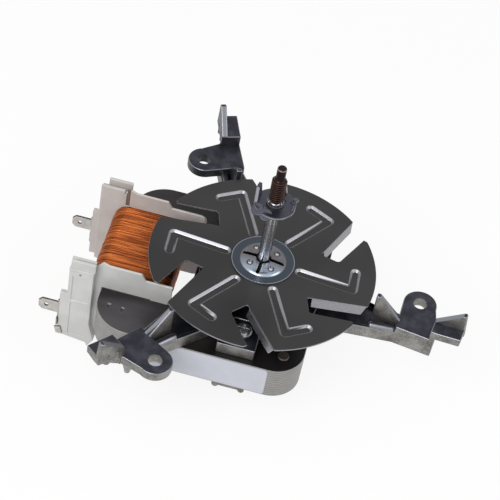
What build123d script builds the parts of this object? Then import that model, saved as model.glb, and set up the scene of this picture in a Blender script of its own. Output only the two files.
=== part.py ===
from build123d import *
import os
from math import atan2, cos, degrees, hypot, radians, sin

# Oven fan motor: a shaded-pole motor with a three-armed cast front bracket, a pressed
# cooling fan on its shaft and a threaded shaft end for the hot-air wheel.
# All lengths are millimetres. The shaft is the Z axis and points up. Height 0 is the plane
# of the three mounting ears, and X runs along the stator's length, away from the coil.

# Stator iron
stack_height = 15.0
stack_top = -9.4
stack_left = -58.2
stack_right = 25.1
stack_half_width = 40.5
leg_width = 19.3
corner_radius_left = 14.4
corner_radius_right = 12.0
window_right = -25.3
core_width = 19.3
bridge_slot_length = 9.0
bridge_slot_width = 4.0
bridge_wall = 1.8

# Rotor
rotor_radius = 15.9
air_gap = 0.4
bar_count = 18
bar_outer_radius = 15.0
bar_inner_radius = 11.6
bar_outer_width = 2.8
bar_inner_width = 1.9
end_ring_height = 2.6
end_ring_width = 4.6
end_ring_inset = 0.4
sleeve_wall = 1.8

# Shading rings, two on each pole
shading_wire = 1.8
shading_depth = 7.0
shading_angles = (35.0, 60.0)
shading_slot_clearance = 0.1
shading_bridge = 0.5

# Bobbin and winding
flange_thickness = 1.0
tube_wall = 1.0
tube_clearance = 0.1
winding_side = 5.0
winding_face = 4.4
winding_corner = 6.0
flange_overhang = 6.2
flange_arm_notch = 4.0
flange_notch_drop = 0.6
flange_high = 3.45
flange_low = 0.4
flange_step_x = -43.2
flange_step_run = 1.8
flange_corner = 3.0
flange_peak = 4.6
flange_peak_x = -58.6
flange_peak_run = 2.8
flange_dip = 1.3
block_depth = 4.3
block_width = 9.8
block_gap = 3.0
block_trough = 1.0
block_skin = 1.3
inner_wall_top = 3.5
outer_wall_top = 5.2
front_wall_shift = 0.5
rear_wall_shift = 2.4
wire_slot_x = -60.3
wire_slot_width = 1.4
wire_slot_bottom = -4.6
block_step_z = -14.5
block_step = 2.8
block_bottom = -40.7
block_slope = 1.4
block_peg = 2.1
peg_width = 0.7
web_reach = 2.4
web_bottom_drop = 5.0
panel_border = 1.6
panel_depth = 0.35
panel_top = -3.6
panel_bar_z = -18.2

# Terminals, 6.3 x 0.8 blades
blade_width = 6.3
blade_thickness = 0.8
blade_length = 7.8
blade_z = -24.2
blade_hole = 1.6
blade_corner = 1.4
terminal_seat = 3.4
terminal_foot = 14.0
terminal_shoulder = 1.2
terminal_stand = 0.6
terminal_inset = 0.8
terminal_clearance = 0.05
hook_reach = 1.8
hook_sheet = 0.5
hook_low = 1.6
hook_high = 5.6

# Shaft and bearings
shaft_radius = 3.0
running_clearance = 0.03
bush_radius = 6.0
bush_length = 7.0
bush_end_radius = 4.8
bush_belt = 2.4
end_play = 0.3
shaft_top = 57.3
pilot_radius = 2.25
pilot_length = 5.5
thread_radius = 3.0
thread_length = 11.4
groove_length = 1.0
groove_depth = 0.5
thread_chamfer = 0.7
shaft_flat = 2.5
shaft_chamfer = 0.5
boss_radius = 10.5
boss_wall = 2.2
boss_roof = 1.6
oil_felt_height = 2.4
oil_felt_gap = 0.15
clip_thickness = 0.6
clip_fingers = 6
clip_slot = 1.2
clip_slot_length = 2.6
shaft_hole_clearance = 1.0
bush_setback = 0.5
rear_floor = 1.0
shaft_end_gap = 0.4

# Front bracket casting
ear_pcd = 128.0
ear_angle = 4.0
ear_thickness = 4.2
ear_radius = 6.7
ear_hole = 5.6
arm_lag = 12.2
arm_width = 10.0
arm_low_side = -2.7
arm_root_low = -11.3
arm_root_high = 11.6
arm_root_x = 20.0
arm_root_start = 14.0
arm_neck_x = 52.0
arm_end_x = 73.0
beam_end_setback = 10.5
heel_cut = 1.3
end_web_slope = 4.2
ear_inner_x = 57.4
ear_outer_setback = 2.2
spider_top = -3.5
web_thickness = 2.4
cast_wall = 2.2
top_recess = 1.2
top_border = 1.7
recess_start = 26.0
recess_end = 56.4
hub_disc_radius = 24.0
under_clear_radius = 27.0
foot_width = 15.0
foot_offset = -1.0
foot_reach = 38.0
foot_height = 5.4
inner_fin_x = 46.6
inner_fin_tip = 1.5
inner_fin_foot_x = 57.8
inner_fin_peak = 8.6
inner_fin_low = 1.0
inner_fin_thickness = 2.3
outer_fin_low = 2.9
outer_fin_thickness = 2.5
outer_fin_peak = 12.8
outer_fin_peak_reach = 7.9
outer_fin_tip = 1.2
outer_fin_base_reach = 10.2
tip_length = 9.7
tip_top = 4.5
tip_rise = 1.1
tip_thickness = 3.8
nub_radius = 1.4
nub_drop = 0.8
nub_reaches = (0.9, 5.5)
heel_nub_setback = 3.4
heel_nub_y = 6.6
heel_nub_drop = 4.6
heel_nub_base = 2.1
heel_nub_tip = 1.1

# Rear bracket casting
rear_bar_width = 13.0
rear_bar_reach = 39.0
rear_foot_thickness = 3.0
rear_cup_radius = 21.0
rear_cup_wall = 2.4
rear_pocket_depth = 3.8
rear_bridge_reach = 25.5
rear_cup_gap = 2.5
rear_boss_drop = 11.8
rear_nub_radius = 1.3
rear_nub_drop = 1.2

# Fixings
screw_radius = 2.0
screw_clearance = 0.15
screw_seat_clearance = 0.4
screw_reach = 30.0
screw_head_radius = 3.6
screw_head_height = 2.4
screw_recess = 1.2
screw_cross_length = 4.2
screw_cross_width = 0.9
rivet_radius = 1.6
rivet_head_radius = 2.3
rivet_head_height = 0.9
rivet_x = 17.3
rivet_y = 32.1

# Label
label_length = 50.0
label_height = 13.9
label_thickness = 0.15
label_corner = 1.2
label_right = 13.1

# Cooling fan
fan_radius = 45.0
fan_top = 5.8
fan_sheet = 0.8
fan_blades = 6
slot_low_radius = 30.4
slot_low_angle = 18.4
slot_high_radius = 24.1
slot_high_angle = 28.0
slot_rim_low_angle = 35.3
slot_rim_high_angle = 47.7
slot_low_corner = 1.5
slot_high_corner = 0.6
slot_mouth_cut = 1.2
slot_mouth_flare = 2.6
flap_depth = 4.0
flap_lean = 1.1
flap_end_cut = 1.8
flap_hub_gap = 1.9
flap_rim_gap = 0.3
flap_sink = 0.1
rib_inner_radius = 15.2
rib_inner_angle = 57.0
rib_outer_radius = 36.8
rib_angle = 55.6
rib_foot_sweep = 14.4
rib_floor_width = 2.2
rib_depth = 1.0
fan_hole_radius = 8.0

# Push-on hub of the fan
hub_radius = 12.5
hub_sheet = 0.7
hub_dome_radius = 9.0
hub_shoulder_radius = 5.4
hub_dome_rise = 1.3
hub_shoulder_drop = 0.28
hub_spigot_top = 0.5
hub_slot_width = 1.3
hub_slot_angle = -5.0
hub_spigot_wall = 0.8

# Drive washer and its ring
washer_z = 37.1
washer_sheet = 1.2
washer_radius = 8.0
wing_height = 8.0
wing_sweep = 48.0
wing_angles = (87.0, 173.0)
wing_tip_share = 0.45
low_wing_height = 3.0
low_wing_sweep = 55.0
low_wing_angle = 8.0
washer_notch_angle = 232.0
washer_notch_radius = 1.2
washer_notch_depth = 2.2
ring_radius = 3.8
ring_thickness = 1.0

# How far a cut runs past the face that it opens
overrun = 1.0

# Places that follow from the sizes above
stack_bottom = stack_top - stack_height
stack_middle = stack_top - stack_height / 2
window_half = stack_half_width - leg_width
bore_radius = rotor_radius + air_gap
flange_inner = window_half - flange_thickness
tube_half_z = stack_height / 2 + tube_clearance + tube_wall
winding_half_z = tube_half_z + winding_face
tube_half_x = core_width / 2 + tube_clearance + tube_wall
winding_half_x = tube_half_x + winding_side
core_x = stack_left + core_width / 2
block_right = stack_left - block_gap
block_left = block_right - block_width
terminal_left = block_left - block_step
terminal_y = flange_inner + block_depth - terminal_inset
ear_radius_pcd = ear_pcd / 2
arm_angle = ear_angle - arm_lag
ear_x = ear_radius_pcd * cos(radians(arm_lag))
ear_y = ear_radius_pcd * sin(radians(arm_lag))
arm_high_side = arm_low_side + arm_width
ear_outer_x = arm_end_x - ear_outer_setback
outer_fin_peak_x = arm_end_x + outer_fin_peak_reach
outer_fin_base_x = arm_end_x + outer_fin_base_reach
tip_end_x = arm_end_x + tip_length
foot_top = stack_top + foot_height
ring_bottom = stack_bottom - end_ring_height
front_bush_bottom = spider_top - web_thickness + bush_setback
front_bush_z = front_bush_bottom + bush_length / 2
rear_boss_bottom = stack_bottom - rear_boss_drop
shaft_bottom = rear_boss_bottom + rear_floor + shaft_end_gap
rear_bush_top = stack_bottom - end_ring_height - bush_setback
rear_bush_z = rear_bush_top - bush_length / 2
felt_outer = boss_radius - boss_wall
ring_z = washer_z + washer_sheet
thread_bottom = shaft_top - pilot_length - thread_length


def cylinder(radius, low, high, x=0.0, y=0.0):
    """A round bar between two heights."""
    return Pos(x, y, low) * Cylinder(radius, high - low, align=(Align.CENTER, Align.CENTER, Align.MIN))


def block(x0, x1, y0, y1, z0, z1):
    """A rectangular block between two corners."""
    size = Box(x1 - x0, y1 - y0, z1 - z0)
    return Pos((x0 + x1) / 2, (y0 + y1) / 2, (z0 + z1) / 2) * size


def prism(points, low, high):
    """A plan outline raised between two heights."""
    return Pos(0, 0, low) * extrude(make_face(Polyline(*points, close=True)), high - low)


def side_plate(points, y0, y1):
    """An outline in X and Z given a thickness along Y."""
    face = make_face(Polyline(*[(x, y0, z) for x, z in points], close=True))
    return extrude(face, y1 - y0, dir=(0, 1, 0))


def polar(radius, angle):
    """Plan coordinates of a point at a radius and an angle in degrees."""
    return (radius * cos(radians(angle)), radius * sin(radians(angle)))


def stator_core():
    """U-shaped stack of punched sheets with the rotor bore in its closed end."""
    plan = Rectangle(stack_right - stack_left, 2 * stack_half_width)
    plan = Pos((stack_left + stack_right) / 2, 0) * plan
    plan = fillet(plan.vertices().sort_by(Axis.X)[:2], corner_radius_left)
    plan = fillet(plan.vertices().sort_by(Axis.X)[-2:], corner_radius_right)
    window_left = stack_left - overrun
    window = Rectangle(window_right - window_left, 2 * window_half)
    plan -= Pos((window_right + window_left) / 2, 0) * window
    plan -= Circle(bore_radius)
    for side in (-1, 1):
        slot_x = side * (bore_radius + bridge_wall + bridge_slot_width / 2)
        plan -= Pos(slot_x, 0) * SlotOverall(bridge_slot_length, bridge_slot_width, rotation=90)
        plan -= Pos(rivet_x, side * rivet_y) * Circle(rivet_radius)
        plan -= Pos(0, side * screw_reach) * Circle(screw_radius + screw_clearance)
    solid = Pos(0, 0, stack_bottom) * extrude(plan, stack_height)
    for angle in shading_places():
        solid -= shading_slot(angle)
    return solid


def coil_core():
    """Straight stack that carries the coil and closes the stator's window."""
    plan = Pos(core_x, 0) * Rectangle(core_width, 2 * window_half)
    return Pos(0, 0, stack_bottom) * extrude(plan, stack_height)


def shading_places():
    """Angles of the four shading rings, two on each pole."""
    return [a + turn for turn in (0.0, 180.0) for a in shading_angles]


def shading_leg_radii():
    """Radii of a ring's inner and outer upright legs."""
    inner = bore_radius + shading_bridge + shading_wire / 2
    return inner, inner + shading_depth


def shading_slot(angle):
    """Square holes for one ring's upright legs."""
    holes = None
    side = shading_wire + 2 * shading_slot_clearance
    for radius in shading_leg_radii():
        hole = Pos(radius, 0, stack_middle) * Box(side, side, stack_height + 2 * overrun)
        holes = hole if holes is None else holes + hole
    return Rot(0, 0, angle) * holes


def shading_rings():
    """Four closed copper loops, each threaded through the stack round part of a pole."""
    inner, outer = shading_leg_radii()
    half = shading_wire / 2
    hole_z = stack_height / 2 + shading_slot_clearance
    tall = hole_z + shading_wire
    loops = []
    for angle in shading_places():
        loop = block(inner - half, outer + half, -half, half, stack_middle - tall, stack_middle + tall)
        loop -= block(inner + half, outer - half, -half, half, stack_middle - hole_z, stack_middle + hole_z)
        edges = loop.edges().filter_by(Axis.Y).group_by(Axis.Z)
        loop = fillet(edges[0] + edges[-1], half)
        loops.append(Rot(0, 0, angle) * loop)
    return Compound(children=loops)


def flange_profile():
    """Upper half of a coil flange's outline in X and Z, from right to left."""
    right = core_x + winding_half_x + flange_overhang
    return [
        (right, flange_low),
        (flange_step_x + flange_step_run, flange_low),
        (flange_step_x, flange_high),
        (flange_peak_x + flange_peak_run, flange_high),
        (flange_peak_x, flange_peak),
        (block_right, flange_dip),
        (block_right - block_gap, flange_dip),
    ]


def coil_flange(side):
    """Flat end wall of the bobbin. The front one's upper corner is cut back, clear of the bracket's arm."""
    upper = flange_profile()
    lower = [(x, 2 * stack_middle - z) for x, z in reversed(upper)]
    y0, y1 = sorted((side * flange_inner, side * window_half))
    wall = side_plate(upper + lower, y0, y1)
    if side < 0:
        outer = core_x + winding_half_x + flange_overhang
        wall -= block(outer - flange_arm_notch, outer, y0, y1, stack_top - flange_notch_drop, flange_low)
    right = wall.edges().filter_by(Axis.Y).group_by(Axis.X)[-1]
    return fillet(right, flange_corner)


def terminal_block(side):
    """Moulded terminal housing at the left end of a flange, with sunk panels outside."""
    near = side * flange_inner
    far = side * (flange_inner + block_depth)
    points = [
        (block_right, block_trough),
        (block_left, block_trough),
        (block_left, block_bottom + block_slope),
        (block_right - peg_width, block_bottom),
        (block_right, block_bottom - block_peg),
        (block_right + web_reach, 2 * stack_middle - flange_peak),
        (block_right, stack_bottom - web_bottom_drop),
    ]
    body = side_plate(points, *sorted((near, far)))
    inner_wall = sorted((near, near + side * block_skin))
    body += block(block_left, block_right, *inner_wall, block_trough, inner_wall_top)
    outer_wall = sorted((far, far - side * block_skin))
    shift = front_wall_shift if side < 0 else rear_wall_shift
    body += block(block_left + shift, block_right + shift, *outer_wall, flange_low, outer_wall_top)
    step = sorted((far, far - side * block_depth / 2))
    body += block(terminal_left, block_left, *step, block_bottom + block_slope, block_step_z)
    sunk = sorted((far, far - side * panel_depth))
    for low, high in panel_heights():
        body -= block(block_left + panel_border, block_right - panel_border, *sunk, low, high)
    slot = terminal_span(side, terminal_clearance)
    seat = terminal_left + terminal_seat
    return body - block(terminal_left - overrun, seat, *slot, *terminal_slot_heights())


def panel_heights():
    """Bottom and top of each sunk panel on a terminal housing."""
    bar = panel_border / 2
    return [
        (panel_bar_z + bar, panel_top),
        (block_bottom + 2 * panel_border, panel_bar_z - bar),
    ]


def terminal_span(side, grow):
    """Y limits of a terminal blade, grown by a clearance."""
    middle = side * terminal_y
    half = blade_thickness / 2 + grow
    return middle - half, middle + half


def terminal_slot_heights():
    """Bottom and top of the slot that a terminal is pressed into."""
    top = blade_z + blade_width / 2 + terminal_shoulder
    return top - terminal_foot - terminal_shoulder, top


def coil_bobbin():
    """Moulded bobbin in one piece: square tube, two flanges and two terminal housings."""
    body = block(core_x - tube_half_x, core_x + tube_half_x, -flange_inner, flange_inner,
                 stack_middle - tube_half_z, stack_middle + tube_half_z)
    for side in (-1, 1):
        body += coil_flange(side)
        body += terminal_block(side)
    body -= block(wire_slot_x, wire_slot_x + wire_slot_width, flange_inner, window_half,
                  wire_slot_bottom, flange_peak)
    hole_x = core_width / 2 + tube_clearance
    hole_z = stack_height / 2 + tube_clearance
    return body - block(core_x - hole_x, core_x + hole_x, -window_half, window_half,
                        stack_middle - hole_z, stack_middle + hole_z)


def coil_winding():
    """Enamelled wire wound round the bobbin's tube between the flanges."""
    outline = RectangleRounded(2 * winding_half_x, 2 * winding_half_z, winding_corner)
    tube = Rectangle(2 * tube_half_x, 2 * tube_half_z)
    ring = extrude(Plane.XZ * (outline - tube), flange_inner, both=True)
    return Pos(core_x, 0, stack_middle) * ring


def terminal(side):
    """Spade terminal with a foot pressed into its slot and a folded wire hook."""
    low, high = terminal_slot_heights()
    neck = terminal_left - terminal_stand
    tip = neck - blade_length
    half = blade_width / 2
    blade = [
        (terminal_left + terminal_seat, high),
        (neck, high),
        (neck, blade_z + half),
        (tip + blade_corner, blade_z + half),
        (tip, blade_z + half - blade_corner),
        (tip, blade_z - half + blade_corner),
        (tip + blade_corner, blade_z - half),
        (neck, blade_z - half),
        (neck, low + terminal_shoulder),
        (terminal_left + terminal_stand, low),
        (terminal_left + terminal_seat, low),
    ]
    plate = side_plate(blade, *terminal_span(side, 0.0))
    middle = side * terminal_y
    plate -= Pos(tip + half, middle, blade_z) * Rot(90, 0, 0) * Cylinder(blade_hole / 2, 2 * overrun)
    hook = sorted((middle, middle + side * hook_reach))
    return plate + block(neck, neck + hook_sheet, *hook, low + hook_low, low + hook_high)


def rotor_laminations():
    """Round stack of rotor sheets with closed slots for the cage bars."""
    plan = Circle(rotor_radius) - Circle(shaft_radius)
    for bar in bar_plans():
        plan -= bar
    return Pos(0, 0, stack_bottom) * extrude(plan, stack_height)


def bar_plans():
    """Tapered outlines of the cage bars round the rotor."""
    inner = bar_inner_width / 2
    outer = bar_outer_width / 2
    points = [
        (bar_inner_radius, -inner),
        (bar_outer_radius, -outer),
        (bar_outer_radius, outer),
        (bar_inner_radius, inner),
    ]
    bar = make_face(Polyline(*points, close=True))
    return [Rot(0, 0, turn * 360 / bar_count) * bar for turn in range(bar_count)]


def rotor_cage():
    """Aluminium cage cast into the rotor: two end rings joined by bars."""
    outer = rotor_radius - end_ring_inset
    ring = Circle(outer) - Circle(outer - end_ring_width)
    cage = Pos(0, 0, stack_top) * extrude(ring, end_ring_height)
    cage += Pos(0, 0, ring_bottom) * extrude(ring, end_ring_height)
    for bar in bar_plans():
        cage += Pos(0, 0, stack_bottom) * extrude(bar, stack_height)
    return cage


def motor_shaft():
    """Turned steel shaft, stepped down to a threaded end and a plain pilot."""
    groove_bottom = thread_bottom - groove_length
    thread_top = shaft_top - pilot_length
    shaft = cylinder(shaft_radius, shaft_bottom, groove_bottom)
    shaft += cylinder(thread_radius - groove_depth, groove_bottom, thread_bottom)
    shaft += cylinder(thread_radius, thread_bottom, thread_top)
    shaft = chamfer(shaft.edges().sort_by(Axis.Z)[-1], thread_chamfer)
    shaft += cylinder(pilot_radius, thread_top, shaft_top)
    shaft = chamfer(shaft.edges().sort_by(Axis.Z)[-1], shaft_chamfer)
    shaft = chamfer(shaft.edges().sort_by(Axis.Z)[0], shaft_chamfer)
    return shaft - (cylinder(2 * shaft_radius, washer_z, ring_z) - flatted_bar(washer_z, ring_z))


def flatted_bar(low, high):
    """Bar of the shaft's size with a flat on two sides, as where the washer is keyed on."""
    width = shaft_radius + overrun
    return cylinder(shaft_radius, low, high) & block(-width, width, -shaft_flat, shaft_flat, low, high)


def bush_shape(middle):
    """Barrel shape of a bush, with a cone at each end so that it can align itself."""
    end = bush_length / 2
    belt = bush_belt / 2
    profile = [
        (0, -end), (bush_end_radius, -end), (bush_radius, -belt),
        (bush_radius, belt), (bush_end_radius, end), (0, end),
    ]
    outline = Polyline(*[(r, 0, middle + z) for r, z in profile], close=True)
    return revolve(make_face(outline), Axis.Z)


def bush(middle):
    """Self-aligning sintered bush with a bore."""
    half = bush_length / 2
    return bush_shape(middle) - cylinder(shaft_radius + running_clearance, middle - half, middle + half)


def bush_cavity(middle, open_way):
    """Room for a bush in its boss: a seat of its own shape, opened wide towards the rotor."""
    low, high = sorted((middle, middle + open_way * 2 * bush_radius))
    return bush_shape(middle) + cylinder(felt_outer, low, high)


def oil_felt(middle, open_way):
    """Felt ring that holds oil round the open side of a bush."""
    near = middle + open_way * oil_felt_gap
    low, high = sorted((near, near + open_way * oil_felt_height))
    return cylinder(felt_outer - oil_felt_gap, low, high) - cylinder(bush_radius, low, high)


def bearing_clip(middle, open_way):
    """Spring-steel ring with fingers that press on the cone of the bush."""
    near = middle + open_way * (oil_felt_gap + oil_felt_height)
    low, high = sorted((near, near + open_way * clip_thickness))
    disc = cylinder(felt_outer, low, high) - bush_shape(middle)
    for place in PolarLocations(bush_radius, clip_fingers):
        disc -= place * Pos(0, 0, low) * Box(clip_slot_length, clip_slot, 2 * clip_thickness)
    return disc


def thrust_sleeve(low, high):
    """Spacer on the shaft between the rotor and a bush."""
    return cylinder(shaft_radius + sleeve_wall, low, high) - cylinder(shaft_radius, low, high)


def arm_beam():
    """Plan of one arm, from its wide root at the hub to its square end."""
    return [
        (arm_root_start, arm_root_low),
        (arm_root_x, arm_root_low),
        (ear_inner_x, arm_low_side),
        (arm_end_x, arm_low_side),
        (arm_end_x, arm_high_side),
        (arm_neck_x, arm_high_side),
        (arm_root_x, arm_root_high),
        (arm_root_start, arm_root_high),
    ]


def bracket_arm():
    """One cast arm along +X, with its ear, its two fins and its raised tip."""
    beam = make_face(Polyline(*arm_beam(), close=True))
    arm = Pos(0, 0, stack_top) * extrude(beam, spider_top - stack_top)
    inside = offset(beam, -cast_wall, kind=Kind.INTERSECTION)
    arm -= Pos(0, 0, stack_top) * extrude(inside, spider_top - web_thickness - stack_top)
    end_near = (arm_end_x, arm_low_side + cast_wall)
    end_far = (arm_end_x - beam_end_setback, arm_high_side)
    arm -= prism([end_near, end_far, (arm_end_x, arm_high_side)], stack_top, spider_top)
    wall_far = (end_far[0] - cast_wall, end_far[1])
    wall_near = (end_near[0] - cast_wall, end_near[1])
    arm += prism([end_near, end_far, wall_far, wall_near], stack_top, spider_top)
    recess = offset(beam, -top_border, kind=Kind.INTERSECTION)
    recess = Pos(0, 0, spider_top - top_recess) * extrude(recess, top_recess)
    arm -= recess & block(recess_start, recess_end, arm_root_low, arm_root_high,
                          spider_top - top_recess, spider_top)
    ear = make_face(Polyline(
        (ear_inner_x, arm_low_side), (arm_end_x, arm_low_side),
        (arm_end_x, arm_high_side - 2 * heel_cut), (arm_end_x - heel_cut, arm_high_side - heel_cut),
        (ear_x + ear_radius, ear_y), (ear_x - ear_radius, ear_y), close=True))
    ear += Pos(ear_x, ear_y) * Circle(ear_radius)
    arm += Pos(0, 0, -ear_thickness) * extrude(ear, ear_thickness)
    arm += end_web()
    tip_low = tip_top - tip_thickness
    fin_side = outer_fin_low + outer_fin_thickness
    arm += side_plate([
        (ear_outer_x, -ear_thickness), (ear_outer_x, tip_top), (arm_end_x, tip_top),
        (tip_end_x, tip_top + tip_rise), (tip_end_x, tip_low + tip_rise),
        (arm_end_x, tip_low), (arm_end_x, -ear_thickness)],
        arm_low_side, fin_side)
    arm += side_plate([
        (ear_outer_x, tip_low), (ear_outer_x, tip_top),
        (outer_fin_peak_x, outer_fin_peak), (outer_fin_peak_x + outer_fin_tip, outer_fin_peak),
        (outer_fin_base_x, tip_low + tip_rise), (arm_end_x, tip_low)],
        outer_fin_low, fin_side)
    arm += side_plate([
        (inner_fin_x, spider_top - web_thickness), (inner_fin_x, inner_fin_peak),
        (inner_fin_x + inner_fin_tip, inner_fin_peak),
        (inner_fin_foot_x, 0), (inner_fin_foot_x, -ear_thickness)],
        inner_fin_low, inner_fin_low + inner_fin_thickness)
    arm += heel_nub()
    for reach in nub_reaches:
        arm += cylinder(nub_radius, tip_low - nub_drop, tip_top, arm_end_x + reach,
                        outer_fin_low + outer_fin_thickness / 2)
    return arm - cylinder(ear_hole / 2, -ear_thickness, 0, ear_x, ear_y)


def end_web():
    """Wall across the end of an arm, deep on one side and cut off at a slope."""
    outline = [
        (arm_low_side, stack_top),
        (arm_low_side + cast_wall, stack_top),
        (arm_low_side + cast_wall + end_web_slope, -ear_thickness),
        (arm_low_side, -ear_thickness),
    ]
    face = make_face(Polyline(*[(arm_end_x, y, z) for y, z in outline], close=True))
    return extrude(face, cast_wall, dir=(-1, 0, 0))


def heel_nub():
    """Tapered knob below the corner of an ear, left where the casting was pushed from its die."""
    low = -ear_thickness - heel_nub_drop
    knob = Cone(heel_nub_tip, heel_nub_base, heel_nub_drop, align=(Align.CENTER, Align.CENTER, Align.MIN))
    return Pos(arm_end_x - heel_nub_setback, heel_nub_y, low) * knob


def front_bracket():
    """Aluminium casting: hub with the front bearing, three arms and two feet on the stack."""
    web_bottom = spider_top - web_thickness
    body = cylinder(hub_disc_radius, stack_top, spider_top)
    for side in (-1, 1):
        y0, y1 = sorted((0, side * foot_reach))
        body += block(foot_offset - foot_width / 2, foot_offset + foot_width / 2, y0, y1, stack_top, foot_top)
    arm = bracket_arm()
    for turn in range(3):
        body += Rot(0, 0, arm_angle + 120 * turn) * arm
    body -= cylinder(under_clear_radius, stack_top, web_bottom)
    boss_top = front_bush_z + bush_length / 2 + boss_roof
    body += cylinder(boss_radius, web_bottom, boss_top)
    body -= bush_cavity(front_bush_z, -1)
    body -= cylinder(shaft_radius + shaft_hole_clearance, front_bush_z, boss_top)
    seat_radius = screw_head_radius + screw_seat_clearance
    for side in (-1, 1):
        body -= cylinder(screw_radius + screw_clearance, stack_top, foot_top, 0, side * screw_reach)
        body -= cylinder(seat_radius, foot_top, foot_top + screw_head_height, 0, side * screw_reach)
    return body


def rear_bracket():
    """Aluminium casting: bar across the back of the stack with a closed bearing cup."""
    foot_low = stack_bottom - rear_foot_thickness
    pocket_low = stack_bottom - rear_pocket_depth
    cup_low = pocket_low - rear_cup_wall
    half = rear_bar_width / 2
    left = foot_offset - half
    right = foot_offset + half
    body = block(left, right, -rear_bar_reach, rear_bar_reach, foot_low, stack_bottom)
    body += block(left, right, -rear_bridge_reach, rear_bridge_reach, cup_low, stack_bottom)
    body += cylinder(rear_cup_radius, cup_low, stack_bottom - rear_cup_gap)
    body -= cylinder(rear_cup_radius - rear_cup_wall, pocket_low, stack_bottom)
    body += cylinder(boss_radius, rear_boss_bottom, pocket_low)
    body -= bush_cavity(rear_bush_z, 1)
    body -= cylinder(shaft_radius + shaft_hole_clearance, rear_boss_bottom + rear_floor, pocket_low)
    for side in (-1, 1):
        for across in (-1, 1):
            x = foot_offset + across * (half - rear_nub_radius)
            y = side * (rear_bar_reach - rear_nub_radius)
            body += cylinder(rear_nub_radius, foot_low - rear_nub_drop, foot_low, x, y)
        body -= cylinder(screw_radius, foot_low, stack_bottom, 0, side * screw_reach)
    return body


def clamp_screws():
    """Two pan-head screws that clamp both brackets to the stack."""
    screws = []
    for side in (-1, 1):
        y = side * screw_reach
        screw = cylinder(screw_radius, stack_bottom - rear_foot_thickness, foot_top, 0, y)
        head = cylinder(screw_head_radius, foot_top, foot_top + screw_head_height, 0, y)
        screw += chamfer(head.edges().sort_by(Axis.Z)[-1], screw_head_height / 3)
        groove = Box(screw_cross_length, screw_cross_width, 2 * screw_recess)
        for turn in (0, 90):
            screw -= Pos(0, y, foot_top + screw_head_height) * Rot(0, 0, turn) * groove
        screws.append(screw)
    return Compound(children=screws)


def stack_rivets():
    """Two rivets that hold the stator sheets together at the closed end."""
    rivets = []
    for side in (-1, 1):
        y = side * rivet_y
        rivet = cylinder(rivet_radius, stack_bottom, stack_top, rivet_x, y)
        for low in (stack_bottom - rivet_head_height, stack_top):
            rivet += cylinder(rivet_head_radius, low, low + rivet_head_height, rivet_x, y)
        rivets.append(rivet)
    return Compound(children=rivets)


def rating_label():
    """Bare sticker on the front edge of the stack."""
    face = Rectangle(label_length, label_height)
    face = fillet(face.vertices(), label_corner)
    sheet = extrude(Plane.XZ * face, label_thickness)
    return Pos(label_right - label_length / 2, -stack_half_width, stack_middle) * sheet


def cooling_fan():
    """Pressed steel disc with six slots, their bent-down flaps and six L-shaped ribs."""
    bottom = fan_top - fan_sheet
    disc = cylinder(fan_radius, bottom, fan_top) - cylinder(fan_hole_radius, bottom, fan_top)
    step = 360 / fan_blades
    slot = fan_slot()
    flap = fan_flap()
    rib_low = fan_rib(rib_floor_width + fan_sheet, bottom, rib_depth)
    rib_cut = fan_rib(rib_floor_width, fan_top, rib_depth)
    for blade in range(fan_blades):
        disc -= Rot(0, 0, blade * step) * slot
    for blade in range(fan_blades):
        disc += Rot(0, 0, blade * step) * flap
        disc += Rot(0, 0, blade * step) * rib_low
        disc -= Rot(0, 0, blade * step) * rib_cut
    return disc


def fan_slot():
    """Slanted notch from the rim inwards, from which a flap is bent down."""
    low_in = polar(slot_low_radius, slot_low_angle)
    high_in = polar(slot_high_radius, slot_high_angle)
    low_rim = polar(fan_radius, slot_rim_low_angle)
    high_rim = polar(fan_radius, slot_rim_high_angle)
    side = hypot(low_rim[0] - low_in[0], low_rim[1] - low_in[1])
    low_cut = stretch(low_in, low_rim, side - slot_mouth_cut)
    low_mouth = polar(fan_radius, slot_rim_low_angle - slot_mouth_flare)
    low_out = stretch(low_cut, low_mouth, fan_radius)
    high_out = stretch(high_in, high_rim, fan_radius)
    plan = make_face(Polyline(low_in, low_cut, low_out, high_out, high_in, close=True))
    for corner, radius in ((low_in, slot_low_corner), (high_in, slot_high_corner)):
        nearest = plan.vertices().sort_by_distance(corner)[0]
        plan = fillet(nearest, radius)
    return Pos(0, 0, fan_top - fan_sheet) * extrude(plan, fan_sheet)


def stretch(start, end, length):
    """Point at a given distance from start, on the line through end."""
    run = hypot(end[0] - start[0], end[1] - start[1])
    scale = length / run
    return (start[0] + (end[0] - start[0]) * scale, start[1] + (end[1] - start[1]) * scale)


def fan_flap():
    """Blade flap below the far side of a slot, leaning a little into it."""
    start = polar(slot_high_radius, slot_high_angle)
    end = polar(fan_radius, slot_rim_high_angle)
    run = hypot(end[0] - start[0], end[1] - start[1]) - flap_rim_gap
    lean = degrees(atan2(flap_lean, flap_depth))
    drop = hypot(flap_lean, flap_depth)
    outline = [(flap_hub_gap, 0), (run, 0), (run - flap_end_cut, -drop), (flap_hub_gap, -drop)]
    flap = side_plate(outline, 0, fan_sheet)
    flap = Rot(-lean, 0, 0) * flap
    heading = degrees(atan2(end[1] - start[1], end[0] - start[0]))
    return Pos(start[0], start[1], fan_top - flap_sink) * Rot(0, 0, heading) * flap


def fan_rib(floor_width, top, depth):
    """L-shaped pressing with sloping walls, as a solid from a top height downwards."""
    inner = polar(rib_inner_radius, rib_inner_angle)
    corner = polar(rib_outer_radius, rib_angle)
    foot = polar(rib_outer_radius, rib_angle + rib_foot_sweep)
    rib = sloped_slot(inner, corner, floor_width, top, depth)
    return rib + sloped_slot(corner, foot, floor_width, top, depth)


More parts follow.
